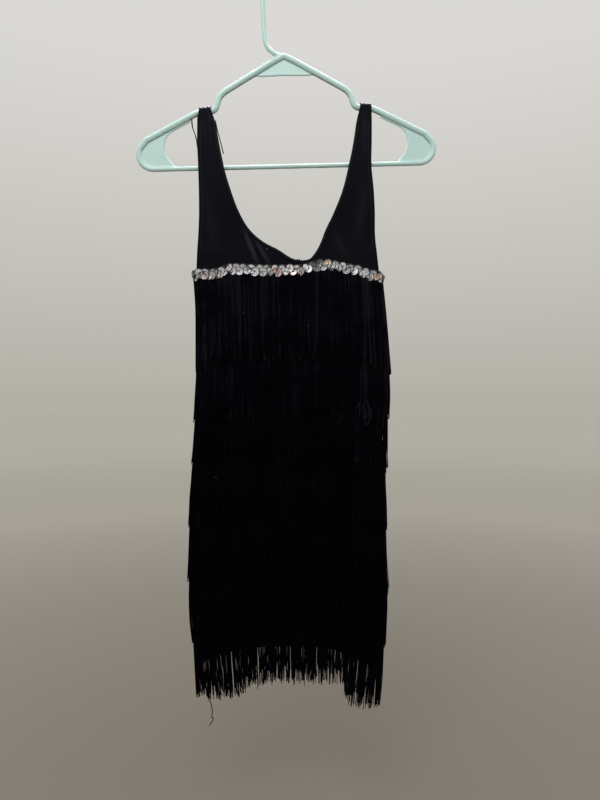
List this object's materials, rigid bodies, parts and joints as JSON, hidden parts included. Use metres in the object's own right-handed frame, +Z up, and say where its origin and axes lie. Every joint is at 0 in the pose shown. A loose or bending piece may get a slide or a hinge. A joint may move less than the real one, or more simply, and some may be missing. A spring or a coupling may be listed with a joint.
{
  "type": "fringed flapper dress on a plastic hanger",
  "caption": "Short black stretch flapper dress with wide straps, a scooped neck, a sequin trim and tiers of chainette fringe, hanging on a tubular plastic hanger.",
  "frame": {"origin": "inner crown of the hanger's hook, where a rod carries it", "axes": "+Z up; the front of the dress looks along -Y; +X is the right side as seen from the front"},
  "size_m": [0.4202, 0.0525, 1.0378],
  "materials": {
    "plastic": "smooth moulded mint plastic",
    "jersey": "smooth black stretch jersey with a soft sheen",
    "sequins": "silver sequins with a faint rainbow tint",
    "fringe": "black rayon chainette",
    "ribbon": "narrow black satin ribbon"
  },
  "bodies": {
    "root": {"hanger": "plastic", "dress_front": "jersey", "dress_back": "jersey", "neck_edging_front": "jersey", "neck_edging_back": "jersey", "sequin_trim": "sequins", "fringe_tier_1": "fringe", "fringe_tier_2": "fringe", "fringe_tier_3": "fringe", "fringe_tier_4": "fringe", "fringe_tier_5": "fringe", "fringe_tier_6": "fringe", "fringe_tier_7": "fringe", "hanger_loop": "ribbon"}
  },
  "joints": []
}
